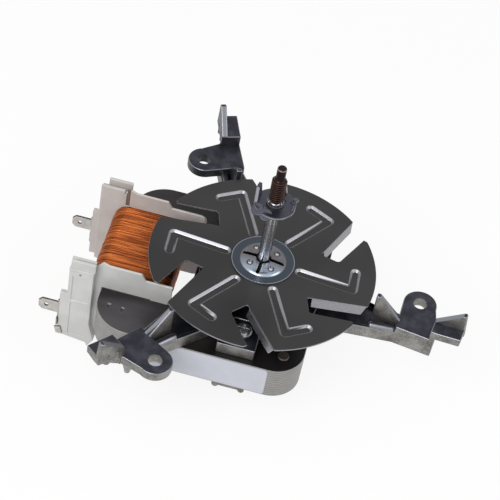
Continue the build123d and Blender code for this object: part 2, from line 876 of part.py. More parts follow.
def sloped_slot(start, end, floor_width, top, depth):
    """Round-ended groove between two points, wider at the top than on its floor."""
    length = hypot(end[0] - start[0], end[1] - start[1])
    heading = degrees(atan2(end[1] - start[1], end[0] - start[0]))
    middle = ((start[0] + end[0]) / 2, (start[1] + end[1]) / 2)
    narrow = SlotCenterToCenter(length, floor_width)
    wide = SlotCenterToCenter(length, floor_width + 2 * depth)
    sections = [Pos(0, 0, -depth) * narrow, wide]
    return Pos(*middle, top) * Rot(0, 0, heading) * loft(sections)


def fan_hub():
    """Sprung steel hub: flat flange, slotted dome that grips the shaft, and a spigot."""
    dome_top = fan_top + hub_dome_rise
    spigot_inner = fan_hole_radius - hub_spigot_wall
    profile = [
        (hub_radius, fan_top),
        (hub_radius, fan_top + hub_sheet),
        (hub_dome_radius, fan_top + hub_sheet),
        (hub_shoulder_radius, dome_top + hub_sheet - hub_shoulder_drop),
        (shaft_radius, dome_top + hub_sheet),
        (shaft_radius, dome_top),
        (hub_shoulder_radius, dome_top - hub_shoulder_drop),
        (spigot_inner, fan_top + hub_spigot_top),
        (spigot_inner, fan_top - fan_sheet),
        (fan_hole_radius, fan_top - fan_sheet),
        (fan_hole_radius, fan_top),
    ]
    hub = revolve(make_face(Polyline(*[(r, 0, z) for r, z in profile], close=True)), Axis.Z)
    for quarter in range(4):
        slot = block(0, spigot_inner, -hub_slot_width / 2, hub_slot_width / 2, fan_top, dome_top + hub_sheet)
        hub -= Rot(0, 0, 90 * quarter + hub_slot_angle) * slot
    return hub


def drive_washer():
    """Pressed washer with upright wings that drives the hot-air wheel."""
    plate = cylinder(washer_radius, washer_z, ring_z)
    wings = [(a, wing_sweep, wing_height) for a in wing_angles]
    wings.append((low_wing_angle, low_wing_sweep, low_wing_height))
    for angle, sweep, height in wings:
        plate += wing(angle, sweep, height)
    plate -= flatted_bar(washer_z, ring_z)
    notch_start = washer_radius - washer_notch_depth
    notch = cylinder(washer_notch_radius, washer_z, ring_z, notch_start)
    notch += block(notch_start, washer_radius, -washer_notch_radius, washer_notch_radius, washer_z, ring_z)
    return plate - Rot(0, 0, washer_notch_angle) * notch


def wing(angle, sweep, height):
    """Part of the washer's rim turned up into a curved wing with a rounded top."""
    wall = cylinder(washer_radius, washer_z, washer_z + height)
    wall -= cylinder(washer_radius - washer_sheet, washer_z, washer_z + height)
    half = washer_radius * sin(radians(sweep / 2))
    tip = half * wing_tip_share
    outline = [(-half, washer_z), (half, washer_z), (tip, washer_z + height), (-tip, washer_z + height)]
    face = make_face(Polyline(*[(0, y, z) for y, z in outline], close=True))
    mask = extrude(face, 2 * washer_radius, dir=(1, 0, 0))
    return Rot(0, 0, angle) * (wall & mask)


def retaining_ring():
    """Ring on the shaft that holds the drive washer down on its shoulder."""
    ring = cylinder(ring_radius, ring_z, ring_z + ring_thickness)
    return ring - cylinder(shaft_radius, ring_z, ring_z + ring_thickness)


parts = {
    "front_bracket": front_bracket(),
    "rear_bracket": rear_bracket(),
    "stator_core": stator_core(),
    "coil_core": coil_core(),
    "coil_bobbin": coil_bobbin(),
    "coil_winding": coil_winding(),
    "front_terminal": terminal(-1),
    "rear_terminal": terminal(1),
    "shading_rings": shading_rings(),
    "front_bearing": bush(front_bush_z),
    "rear_bearing": bush(rear_bush_z),
    "front_bearing_clip": bearing_clip(front_bush_z, -1),
    "rear_bearing_clip": bearing_clip(rear_bush_z, 1),
    "front_oil_felt": oil_felt(front_bush_z, -1),
    "rear_oil_felt": oil_felt(rear_bush_z, 1),
    "clamp_screws": clamp_screws(),
    "stack_rivets": stack_rivets(),
    "rating_label": rating_label(),
    "motor_shaft": motor_shaft(),
    "rotor_laminations": rotor_laminations(),
    "rotor_cage": rotor_cage(),
    "front_thrust_sleeve": thrust_sleeve(stack_top, front_bush_bottom - end_play),
    "rear_thrust_sleeve": thrust_sleeve(rear_bush_top + end_play, stack_bottom),
    "cooling_fan": cooling_fan(),
    "fan_hub": fan_hub(),
    "drive_washer": drive_washer(),
    "retaining_ring": retaining_ring(),
}

os.makedirs("parts", exist_ok=True)
for name, solid in parts.items():
    export_step(solid, f"parts/{name}.step")
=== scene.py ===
import math
import random

import bpy
from mathutils import Matrix, Vector


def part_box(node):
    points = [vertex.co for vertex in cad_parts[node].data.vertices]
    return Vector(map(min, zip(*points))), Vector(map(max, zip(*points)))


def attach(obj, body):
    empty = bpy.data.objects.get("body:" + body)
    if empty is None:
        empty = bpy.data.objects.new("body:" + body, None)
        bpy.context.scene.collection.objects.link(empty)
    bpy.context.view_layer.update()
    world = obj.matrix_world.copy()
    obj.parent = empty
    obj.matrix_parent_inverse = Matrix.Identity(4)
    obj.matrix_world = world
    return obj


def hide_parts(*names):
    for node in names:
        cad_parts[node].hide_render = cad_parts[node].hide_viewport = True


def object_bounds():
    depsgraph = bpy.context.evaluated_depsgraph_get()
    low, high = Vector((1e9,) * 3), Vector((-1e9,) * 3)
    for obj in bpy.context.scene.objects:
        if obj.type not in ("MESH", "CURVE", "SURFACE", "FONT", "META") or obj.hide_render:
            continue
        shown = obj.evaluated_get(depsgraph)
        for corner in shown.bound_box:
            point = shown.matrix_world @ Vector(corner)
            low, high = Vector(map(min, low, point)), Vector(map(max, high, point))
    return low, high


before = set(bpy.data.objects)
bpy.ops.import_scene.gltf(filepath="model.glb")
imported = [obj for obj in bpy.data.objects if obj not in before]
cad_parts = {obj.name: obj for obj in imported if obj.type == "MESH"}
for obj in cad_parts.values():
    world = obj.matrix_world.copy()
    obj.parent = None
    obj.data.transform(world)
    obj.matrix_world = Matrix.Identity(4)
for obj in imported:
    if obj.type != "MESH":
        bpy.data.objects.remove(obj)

cad_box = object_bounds()
bpy.ops.object.select_all(action="DESELECT")

# Stator stack
# Electrical sheet half a millimetre thick is punched to a U and locked by two dimples. Its flat faces are
# oxidised nearly black with a painted sheen lighter near the coil, and its edges show every sheet as a fine
# line.


class Signal:
    """A value that varies over a surface, so that shader maths reads as plain sums."""

    def __init__(self, finish, socket):
        self.finish = finish
        self.socket = socket

    def maths(self, operation, *values):
        sockets = dict(enumerate(values))
        return self.finish.add("Math", {"operation": operation}, sockets)

    def __add__(self, other):
        return self.maths("ADD", self, other)

    def __radd__(self, other):
        return self.maths("ADD", other, self)

    def __sub__(self, other):
        return self.maths("SUBTRACT", self, other)

    def __rsub__(self, other):
        return self.maths("SUBTRACT", other, self)

    def __mul__(self, other):
        return self.maths("MULTIPLY", self, other)

    def __rmul__(self, other):
        return self.maths("MULTIPLY", other, self)

    def __truediv__(self, other):
        return self.maths("DIVIDE", self, other)

    def __pow__(self, other):
        return self.maths("POWER", self, other)

    def __abs__(self):
        return self.maths("ABSOLUTE", self)

    def fraction(self):
        return self.maths("FRACT", self)

    def rise(self, low, high):
        """0 below low, 1 above high, and a soft step between them."""
        return self.finish.add("MapRange", {"interpolation_type": "SMOOTHSTEP"},
                               {"Value": self, "From Min": low, "From Max": high})


class Finish:
    """A material of one piece: its shader's plain values, and the nodes that vary over the surface."""

    def __init__(self, name, **plain):
        self.material = bpy.data.materials.new(name)
        self.material.use_nodes = True
        self.tree = self.material.node_tree
        self.shader = self.tree.nodes["Principled BSDF"]
        for socket, value in plain.items():
            self.shader.inputs[socket.replace("_", " ")].default_value = value

    def add(self, kind, settings, sockets, out=0):
        """Adds a node with these settings, fed by these signals or numbers."""
        node = self.tree.nodes.new("ShaderNode" + kind)
        for name, value in settings.items():
            setattr(node, name, value)
        for name, value in sockets.items():
            if isinstance(value, Signal):
                self.tree.links.new(value.socket, node.inputs[name])
            else:
                node.inputs[name].default_value = value
        return Signal(self, node.outputs[out])

    def place(self):
        """X, Y and Z of the surface point in metres."""
        point = self.add("TexCoord", {}, {}, "Object")
        return [self.add("SeparateXYZ", {}, {"Vector": point}, axis) for axis in "XYZ"]

    def facing(self):
        """X, Y and Z of the surface's own direction."""
        normal = self.add("TexCoord", {}, {}, "Normal")
        return [self.add("SeparateXYZ", {}, {"Vector": normal}, axis) for axis in "XYZ"]

    def grain(self, size, detail=2.0, stretch=(1.0, 1.0, 1.0)):
        """Cloudy noise from 0 to 1 whose patches are about size metres wide."""
        point = self.add("TexCoord", {}, {}, "Object")
        scaled = self.add("VectorMath", {"operation": "MULTIPLY"}, {0: point, 1: stretch})
        return self.add("TexNoise", {}, {"Vector": scaled, "Scale": 1.0 / size, "Detail": detail})

    def blend(self, mask, low, high):
        """Colour that goes from low to high with the mask."""
        return self.add("Mix", {"data_type": "RGBA"}, {0: mask, 6: low, 7: high}, 2)

    def wear(self, **varying):
        """Feeds what varies to the shader's own sockets."""
        for name, value in varying.items():
            self.tree.links.new(value.socket, self.shader.inputs[name.replace("_", " ")])

    def relief(self, height, depth):
        """Fine bumps of the given depth in metres."""
        bump = self.add("Bump", {}, {"Height": height, "Distance": depth, "Strength": 1.0})
        self.wear(Normal=bump)

    def cover(self, *nodes):
        """Gives this finish to nodes of the frame."""
        for node in nodes:
            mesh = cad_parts[node].data
            mesh.materials.clear()
            mesh.materials.append(self.material)


def pick(*pieces):
    """Makes these pieces the only selected ones, the first of them active."""
    bpy.ops.object.select_all(action="DESELECT")
    for piece in pieces:
        piece.select_set(True)
    bpy.context.view_layer.objects.active = pieces[0]


def set_in_mesh(*pieces):
    """Moves the pieces' place, turn and size into their meshes."""
    pick(*pieces)
    bpy.ops.object.transform_apply(location=True, rotation=True, scale=True)


def block(place, size, turn=(0, 0, 0)):
    """A block to cut with or to join to a piece, turned by these angles in degrees."""
    bpy.ops.mesh.primitive_cube_add(size=1, location=place, scale=size,
                                    rotation=[math.radians(angle) for angle in turn])
    piece = bpy.context.object
    set_in_mesh(piece)
    return piece


def finish_with(piece, kind, **settings):
    """Adds a modifier of this kind to a piece and applies it."""
    modifier = piece.modifiers.new(kind.lower(), kind)
    for name, value in settings.items():
        setattr(modifier, name, value)
    pick(piece)
    bpy.ops.object.modifier_apply(modifier=modifier.name)


def even_shading(piece, angle=40):
    """Shades round faces smooth and keeps flat ones flat up to their rounded edges."""
    pick(piece)
    bpy.ops.object.shade_smooth_by_angle(angle=math.radians(angle))
    finish_with(piece, "WEIGHTED_NORMAL", keep_sharp=True)


def one_skin(node, name, split_hollow_faces=False):
    """Copy of a CAD node whose loose triangles are merged into one closed skin with whole faces."""
    piece = bpy.data.objects.new(name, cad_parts[node].data.copy())
    piece.data.materials.clear()
    bpy.context.collection.objects.link(piece)
    pick(piece)
    bpy.ops.mesh.customdata_custom_splitnormals_clear()
    bpy.ops.object.mode_set(mode="EDIT")
    bpy.ops.mesh.select_all(action="SELECT")
    bpy.ops.mesh.remove_doubles(threshold=0.000002)
    bpy.ops.mesh.dissolve_limited(angle_limit=math.radians(1.5))
    if split_hollow_faces:
        bpy.ops.mesh.vert_connect_concave()
    bpy.ops.object.mode_set(mode="OBJECT")
    return piece


def round_edges(piece, width, steps=2, shortest=0.0, sharper_than=30):
    """Rounds the outer edges that are sharper than an angle and no shorter than a length, by width metres."""
    mesh = piece.data
    sides = {}
    for face in mesh.polygons:
        for key in face.edge_keys:
            sides.setdefault(key, []).append(face)
    rounding = mesh.attributes.new("bevel_weight_edge", "FLOAT", "EDGE")
    for edge in mesh.edges:
        small, large = sorted((sides[edge.key][0], sides[edge.key][-1]), key=lambda face: face.area)
        start, end = (mesh.vertices[corner].co for corner in edge.vertices)
        sharp = small.normal.angle(large.normal, 0) > math.radians(sharper_than)
        outer = (small.center - start).dot(large.normal) < 0
        rounding.data[edge.index].value = float(sharp and outer and (end - start).length > shortest)
    finish_with(piece, "BEVEL", width=width, segments=steps, limit_method="WEIGHT", use_clamp_overlap=False)
    even_shading(piece)


def cut_away(piece, cutter):
    """Takes the cutter's shape out of a piece and throws the cutter away."""
    finish_with(piece, "BOOLEAN", object=cutter, operation="DIFFERENCE", solver="EXACT")
    bpy.data.objects.remove(cutter)


def settle(piece, body, slot, finish, *nodes):
    """Gives a finished piece its body and its finish, in place of these CAD nodes. The slot is not used."""
    set_in_mesh(piece)
    piece.data.materials.clear()
    piece.data.materials.append(finish.material)
    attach(piece, body)
    if nodes:
        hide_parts(*nodes)


sheets = Finish("oxidised_stack", Metallic=0.5)
x, y, z = sheets.place()
flat = abs(sheets.facing()[2]).rise(0.6, 0.9)
# Painted sheen: the flat faces are painted lighter near the coil, standing for a reflection.
painted_sheen_near_coil = (1.0 - x.rise(-0.046, -0.024)) * (1.0 - y.rise(-0.012, 0.008))
cloud = sheets.grain(0.02)
sheen = sheets.grain(0.012, detail=3.0, stretch=(0.35, 1.0, 1.0))
sheet_thickness = 0.0005
burr_spacing = 0.0011
sheet_line = abs((z / sheet_thickness).fraction() - 0.5) * 2.0
burr_line = abs((z / burr_spacing).fraction() - 0.5) * 2.0
dark_sheet = sheets.blend(cloud.rise(0.35, 0.7), (0.012, 0.011, 0.012, 1), (0.028, 0.022, 0.022, 1))
painted_sheen_colour = sheets.blend(sheen.rise(0.35, 0.65), (0.024, 0.020, 0.022, 1), (0.072, 0.067, 0.072, 1))
flat_colour = sheets.blend(painted_sheen_near_coil, dark_sheet, painted_sheen_colour)
edge_mark = sheet_line.rise(0.1, 0.9) * 0.25 + burr_line.rise(0.2, 0.8) * 0.4 + sheets.grain(0.003) * 0.35
edge_colour = sheets.blend(edge_mark, (0.13, 0.125, 0.12, 1), (0.42, 0.41, 0.395, 1))
sheets.wear(Base_Color=sheets.blend(flat, edge_colour, flat_colour),
            Roughness=0.34 + (1.0 - flat) * 0.1 + sheets.grain(0.001) * 0.1)
sheets.relief(sheet_line * (1.0 - flat) + sheets.grain(0.0008) * 0.3, depth=0.00006)
sheets.cover("coil_core", "rotor_laminations")

stack = one_skin("stator_core", "stack_of_sheets")
stack_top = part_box("stator_core")[1][2]
dimple_size = (0.0013, 0.0026, 0.0007)
dimple_turn = (-14, 0, -4)
for dimple_x, dimple_y in ((-0.0533, -0.0293), (-0.0478, -0.0295)):
    cut_away(stack, block((dimple_x, dimple_y, stack_top), dimple_size, dimple_turn))
round_edges(stack, width=0.00012, steps=1)
settle(stack, "stator", "stator_sheets", sheets, "stator_core")

# Front bracket
# One die casting in aluminium: a hub disc with the front bearing under the fan, and three arms with ears.
# Upward faces are painted dark slate grey and walls lighter and grained, as painted light and shade by
# facing; walls towards the back carry painted shade, and the rounded edges carry a painted highlight.
cast = Finish("die_casting", Metallic=0.85)
x, y, z = cast.place()
up = cast.facing()[2]
# Painted light and shade by facing: upward faces get a dark slate colour, walls a lighter one.
level = up.rise(0.86, 0.97)
# Painted highlight: faces between upright and level, the rounded edges, are painted lighter.
painted_edge_highlight = up.rise(0.12, 0.45) * (1.0 - level)
patch = cast.grain(0.005, detail=3.0)
speck = cast.grain(0.0005)
# Painted shade: walls towards the back are painted darker.
painted_shade_far = y.rise(0.005, 0.045)
shaded_top_colour = cast.blend(patch.rise(0.35, 0.7), (0.027, 0.028, 0.037, 1), (0.054, 0.055, 0.071, 1))
near_grain = (speck * 0.5 + patch * 0.5).rise(0.3, 0.7)
lit_near_wall = cast.blend(near_grain, (0.11, 0.105, 0.10, 1), (0.34, 0.33, 0.31, 1))
shaded_far_wall = cast.blend(speck * 0.4 + patch * 0.6, (0.030, 0.031, 0.040, 1), (0.13, 0.13, 0.14, 1))
side_colour = cast.blend(painted_edge_highlight, cast.blend(painted_shade_far, lit_near_wall, shaded_far_wall), (0.22, 0.225, 0.255, 1))
cast.wear(Base_Color=cast.blend(level, side_colour, shaded_top_colour),
          Roughness=0.34 + speck * 0.12 - painted_edge_highlight * 0.08)
cast.relief(speck * 0.5 + patch * 0.4, depth=0.00004)
cast.cover("rear_bracket")

bracket = one_skin("front_bracket", "three_armed_casting")
round_edges(bracket, width=0.0005, steps=3, shortest=0.00045)
arm_lean = -8.2
bead_radius = 0.0016
bead_length = 0.0108
rim_beads = (((0.0518, 0.0059, -0.0036), -3), ((0.0520, -0.0021, -0.0036), 12))
beads = []
for place, lean in rim_beads:
    bpy.ops.mesh.primitive_cylinder_add(vertices=24, radius=bead_radius, depth=bead_length,
                                        rotation=(0, math.radians(90), 0))
    bead = bpy.context.object
    set_in_mesh(bead)
    round_edges(bead, width=bead_radius * 0.8, steps=4)
    for arm in range(3):
        copy = bead.copy()
        copy.data = bead.data.copy()
        bpy.context.collection.objects.link(copy)
        swing = Matrix.Rotation(math.radians(arm_lean + 120 * arm), 4, "Z")
        copy.matrix_world = swing @ Matrix.Translation(place) @ Matrix.Rotation(math.radians(lean), 4, "Z")
        beads.append(copy)
    bpy.data.objects.remove(bead)
set_in_mesh(*beads)
pick(bracket, *beads)
bpy.ops.object.join()
settle(bracket, "stator", "cast_front", cast, "front_bracket")

# Bobbin
# One moulding in off-white glass-filled nylon with a fine matt skin. A thin web crosses its wire slot, and it
# and the slot are painted dark as painted shade; a thin rib runs below the front housing's top, and a small
# dark disc below that is painted shade standing for a pin hole of the mould.
nylon = Finish("bobbin_nylon", Roughness=0.4)
x, y, z = nylon.place()
skin = nylon.grain(0.009)
warm = y.rise(-0.005, 0.02)
front_nylon = nylon.blend(skin.rise(0.3, 0.8), (0.50, 0.50, 0.485, 1), (0.57, 0.57, 0.56, 1))
back_nylon = nylon.blend(skin.rise(0.3, 0.8), (0.49, 0.45, 0.43, 1), (0.57, 0.54, 0.515, 1))
unshaded_nylon = nylon.blend(warm, front_nylon, back_nylon)
# Painted shade: the wire slot and the web across it are painted dark.
across_slot = x.rise(-0.0604, -0.0602) * (1.0 - x.rise(-0.0589, -0.0587))
along_slot = y.rise(0.010, 0.011) * (1.0 - y.rise(0.0214, 0.0216))
shaded_slot = across_slot * along_slot * z.rise(-0.0046, -0.0042)
# Painted shade: a small dark disc stands for a pin hole of the mould, where no hole is cut.
pin_across = x + 0.0665
pin_up = z + 0.0019
from_pin = (pin_across * pin_across + pin_up * pin_up) ** 0.5
painted_pin_hole = (1.0 - from_pin.rise(0.0004, 0.0006)) * (1.0 - y.rise(-0.0245, -0.0240))
painted_shade_colour = (0.17, 0.125, 0.10, 1)
nylon.wear(Base_Color=nylon.blend(shaded_slot + painted_pin_hole, unshaded_nylon, painted_shade_colour))
nylon.relief(nylon.grain(0.0007), depth=0.00002)

bobbin = one_skin("coil_bobbin", "moulded_bobbin", split_hollow_faces=True)
round_edges(bobbin, width=0.0003, steps=3)
web_depth = 0.0006
web_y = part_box("coil_winding")[1][1] + web_depth
web = block((-0.0596, web_y, 0.0), (0.0014, web_depth, 0.0090))
round_edges(web, width=0.0001, steps=1)
top_rib = block((-0.0661, -0.0246, 0.0004), (0.0098, 0.0005, 0.0006))
round_edges(top_rib, width=0.0001, steps=1)
pick(bobbin, web, top_rib)
bpy.ops.object.join()
settle(bobbin, "stator", "bobbin_nylon", nylon, "coil_bobbin")

# Winding
# The coil is wound in copper wire with a clear orange enamel. Its turns lie side by side round the bobbin's
# tube, each a little higher, lower or more askew than the next, and three strands lead away at its end.


def resize_where(piece, wanted, factors, centre=(0, 0, 0)):
    """Resizes the corners that the test wanted accepts, about a centre, on a piece with nothing selected.

    On a copy by one_skin, whose faces are all selected, it resizes every corner. So the shaft and the
    retaining ring are thinner than their solids, which is a fault that is left.
    """
    for vertex in piece.data.vertices:
        vertex.select = wanted(vertex.co)
    pick(piece)
    bpy.ops.object.mode_set(mode="EDIT")
    bpy.ops.transform.resize(value=factors, center_override=centre)
    bpy.ops.object.mode_set(mode="OBJECT")


wire = Finish("enamelled_wire", Metallic=0.85)
x, y, z = wire.place()
dark_turn = wire.grain(0.0007, stretch=(0.05, 1.0, 0.05)).rise(0.35, 0.65)
stretch_mark = wire.grain(0.006, stretch=(1.0, 3.0, 1.0)).rise(0.3, 0.7)
lit_side = 1.0 - x.rise(-0.058, -0.038)
deep = wire.blend(dark_turn, (0.090, 0.018, 0.004, 1), (0.245, 0.059, 0.012, 1))
bright = wire.blend(dark_turn, (0.23, 0.053, 0.011, 1), (0.52, 0.150, 0.035, 1))
wire.wear(Base_Color=wire.blend(lit_side * 0.75 + stretch_mark * 0.25, deep, bright),
          Roughness=0.32 + stretch_mark * 0.12)

coil_low, coil_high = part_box("coil_winding")
coil_middle = (coil_low + coil_high) / 2
coil_size = coil_high - coil_low
wire_radius = 0.00027
turn_pitch = 0.00050
turn_corner = 0.0058
slack = 0.00022
bpy.ops.mesh.primitive_plane_add(size=1, location=coil_middle, rotation=(math.radians(90), 0, 0))
turn = bpy.context.object
turn.scale = (coil_size.x - 2 * (wire_radius + slack), coil_size.z - 2 * (wire_radius + slack), 1)
set_in_mesh(turn)
bpy.ops.object.mode_set(mode="EDIT")
bpy.ops.mesh.select_all(action="SELECT")
bpy.ops.mesh.bevel(offset=turn_corner, segments=6, affect="VERTICES")
bpy.ops.mesh.delete(type="ONLY_FACE")
bpy.ops.object.mode_set(mode="OBJECT")
bpy.ops.object.convert(target="CURVE")
turn.data.bevel_depth = wire_radius
turn.data.bevel_resolution = 1
bpy.ops.object.convert(target="MESH")
bpy.ops.object.shade_smooth()

winder = random.Random(11)
squeeze = 0.98
least_growth = -0.013
most_growth = 0.011
most_askew = 0.35
turn_count = int((coil_size.y - 2 * wire_radius) / turn_pitch)
turns = []
for number in range(turn_count):
    strand = turn.copy()
    strand.data = turn.data.copy()
    bpy.context.collection.objects.link(strand)
    along = (number - (turn_count - 1) / 2) * turn_pitch * squeeze
    growth = 1.0 + winder.uniform(least_growth, most_growth)
    askew = Matrix.Rotation(math.radians(winder.uniform(-most_askew, most_askew)), 4, "Z")
    swell = Matrix.Diagonal((growth, 1, growth, 1))
    place = Matrix.Translation(coil_middle + Vector((0, along, 0)))
    strand.matrix_world = place @ askew @ swell @ Matrix.Translation(-coil_middle)
    turns.append(strand)
bpy.data.objects.remove(turn)


def is_outside(corner):
    """Whether a corner of the coil's solid is on its outside."""
    from_middle = corner - coil_middle
    return max(abs(from_middle.x) / coil_size.x, abs(from_middle.z) / coil_size.z) > 0.4


drawn_in = (0.965, 1, 0.955)
under_layer = one_skin("coil_winding", "under_layer")
resize_where(under_layer, is_outside, drawn_in, coil_middle)
lead_length = coil_size.y * 0.97
lead_strands = ((0.0, -0.0125, 0.9, 3.0), (0.0001, -0.0138, -0.5, 4.5), (0.0001, -0.0150, 0.4, 1.5))
for sideways, height, swing, tilt in lead_strands:
    bpy.ops.mesh.primitive_cylinder_add(vertices=8, radius=wire_radius, depth=lead_length,
                                        location=(coil_low.x + wire_radius + sideways, 0, height),
                                        rotation=(math.radians(90 + tilt), 0, math.radians(swing)))
    bpy.ops.object.shade_smooth()
    turns.append(bpy.context.object)
set_in_mesh(*turns)
pick(*turns, under_layer)
bpy.ops.object.join()
coil = bpy.context.object
coil.name = "wire_turns"
settle(coil, "stator", "coil_wire", wire, "coil_winding")

# Terminals
# Two spade tabs are stamped from tinned brass sheet 0.8 mm thick and pressed into the bobbin's housings. The
# front one ends in a bent tail at its housing's lower corner.
tin = Finish("tinned_tab", Metallic=0.35)
dull = tin.grain(0.002)
# Painted shade: the tab's cut edges, picked by their facing, are painted nearly black.
painted_shade_edges = 1.0 - abs(tin.facing()[1]).rise(0.75, 0.95)
face_colour = tin.blend(dull.rise(0.3, 0.8), (0.42, 0.40, 0.375, 1), (0.55, 0.53, 0.50, 1))
tin.wear(Base_Color=tin.blend(painted_shade_edges, face_colour, (0.045, 0.040, 0.038, 1)), Roughness=0.38 + dull * 0.2)
for side in ("front", "rear"):
    tab = one_skin(side + "_terminal", side + "_spade_tab")
    if side == "front":
        tail = block((-0.0733, -0.0247, -0.0365), (0.0026, 0.0006, 0.0038), (0, -14, 0))
        pick(tab, tail)
        bpy.ops.object.join()
    round_edges(tab, width=0.0001, steps=1)
    settle(tab, "stator", "tab_" + side, tin, side + "_terminal")

# Shading rings
# Four heavy loops of dull copper, two on each pole, are threaded through the stack and brazed shut. They set
# the way that the rotor turns.
copper = Finish("shading_copper", Metallic=0.9)
tarnish = copper.grain(0.002)
copper.wear(Base_Color=copper.blend(tarnish, (0.30, 0.12, 0.06, 1), (0.60, 0.28, 0.15, 1)),
            Roughness=0.35 + tarnish * 0.2)
copper.cover("shading_rings")

# Bearings
# Each sintered bronze bush sits in its boss in a ring of oiled felt, held by a sprung steel clip. It can tilt
# a little in its seat, and so lines up with the shaft.
bronze = Finish("sintered_bronze", Metallic=0.85)
pores = bronze.grain(0.0004)
bronze.wear(Base_Color=bronze.blend(pores, (0.22, 0.15, 0.07, 1), (0.42, 0.31, 0.16, 1)),
            Roughness=0.4 + pores * 0.2)
bronze.cover("front_bearing", "rear_bearing")
felt = Finish("oiled_felt", Roughness=0.95)
fibre = felt.grain(0.0005, detail=4.0)
felt.wear(Base_Color=felt.blend(fibre, (0.10, 0.08, 0.06, 1), (0.20, 0.17, 0.13, 1)))
felt.relief(fibre, depth=0.0002)
felt.cover("front_oil_felt", "rear_oil_felt")
spring = Finish("spring_steel", Metallic=1.0)
brush = spring.grain(0.0015)
spring.wear(Base_Color=spring.blend(brush, (0.30, 0.30, 0.31, 1), (0.46, 0.46, 0.48, 1)),
            Roughness=0.28 + brush * 0.15)
spring.cover("front_bearing_clip", "rear_bearing_clip")

# Screws and rivets
# Two zinc-plated screws clamp the brackets to the stack. Two steel rivets, browned by heat, hold the sheets
# of its closed end together.
zinc = Finish("zinc_plate", Metallic=0.95)
bloom = zinc.grain(0.0015)
zinc.wear(Base_Color=zinc.blend(bloom.rise(0.3, 0.8), (0.15, 0.155, 0.17, 1), (0.50, 0.51, 0.54, 1)),
          Roughness=0.2 + bloom * 0.2)
screws = one_skin("clamp_screws", "cross_head_screws")
round_edges(screws, width=0.0002)
settle(screws, "stator", "screw_zinc", zinc, "clamp_screws")
rust = Finish("brown_rivet", Metallic=0.8)
stain = rust.grain(0.001)
rust.wear(Base_Color=rust.blend(stain, (0.055, 0.048, 0.044, 1), (0.165, 0.142, 0.130, 1)),
          Roughness=0.35 + stain * 0.2)
rivets = one_skin("stack_rivets", "round_head_rivets")
round_edges(rivets, width=0.0004, steps=3)
settle(rivets, "stator", "rivet_steel", rust, "stack_rivets")

# Sticker
# A pale satin sticker is glued on the stack's front edge. It is bare, so that only its faint mottle shows.
paper = Finish("pale_sticker", Roughness=0.38)
mottle = paper.grain(0.004)
paper.wear(Base_Color=paper.blend(mottle, (0.45, 0.465, 0.525, 1), (0.51, 0.525, 0.585, 1)))
paper.cover("rating_label")

# Rotor inside
# Aluminium bars and end rings are cast through the rotor's turned stack of sheets. Moulded black sleeves
# space it from the bushes.
cage = Finish("cage_casting", Metallic=0.9)
swirl = cage.grain(0.003)
cage.wear(Base_Color=cage.blend(swirl, (0.35, 0.35, 0.36, 1), (0.60, 0.60, 0.61, 1)),
          Roughness=0.35 + swirl * 0.2)
cage.cover("rotor_cage")
sleeve = Finish("black_moulding", Roughness=0.4)
sleeve_skin = sleeve.grain(0.001)
sleeve.wear(Base_Color=sleeve.blend(sleeve_skin, (0.02, 0.02, 0.02, 1), (0.05, 0.05, 0.05, 1)))
sleeve.cover("front_thrust_sleeve", "rear_thrust_sleeve")

# Shaft
# The shaft is ground steel with long bright streaks. Its end is cut with an M6 thread, stepped down to a
# plain pilot, and has gone brown-black from heat and oil; the thread's crests carry a painted highlight.
steel = Finish("ground_shaft", Metallic=1.0, Anisotropic=0.6, Anisotropic_Rotation=0.25)
x, y, z = steel.place()
burnt = z.rise(0.0392, 0.0402)
streak = steel.grain(0.0030, detail=0.0, stretch=(1.0, 1.0, 0.003)).rise(0.38, 0.6)
band = steel.grain(0.006, detail=1.0, stretch=(0.6, 0.6, 0.1))
clean = steel.blend(streak * 0.8 + band * 0.2, (0.26, 0.255, 0.27, 1), (0.72, 0.71, 0.74, 1))
burnt_steel = steel.blend(band, (0.014, 0.009, 0.008, 1), (0.042, 0.027, 0.025, 1))
off_axis = (x * x + y * y) ** 0.5
polished = z.rise(0.0565, 0.0568) * off_axis.rise(0.0016, 0.0018)
# Painted highlight: the thread's crests are painted lighter than its roots.
painted_crest_highlight = off_axis.rise(0.00272, 0.00292)
thread_steel = steel.blend(painted_crest_highlight * 0.8, burnt_steel, (0.105, 0.062, 0.053, 1))
worn_steel = steel.blend(polished, thread_steel, (0.34, 0.29, 0.29, 1))
steel.wear(Base_Color=steel.blend(burnt, clean, worn_steel), Roughness=0.22 + burnt * 0.1)

thread_low = 0.0404
thread_high = 0.0518
thread_crest = 0.00298
thread_root = 0.00245
thread_pitch = 0.0010
solid_radius = 0.003
pilot_clear = 0.0026
sink = 0.0001


def is_on_thread(corner):
    """Whether a corner of the shaft's solid is on its threaded length."""
    return thread_low - sink < corner.z < thread_high and math.hypot(corner.x, corner.y) > pilot_clear


shaft = one_skin("motor_shaft", "threaded_shaft")
resize_where(shaft, is_on_thread, (thread_root / solid_radius, thread_root / solid_radius, 1))
round_edges(shaft, width=0.0002)

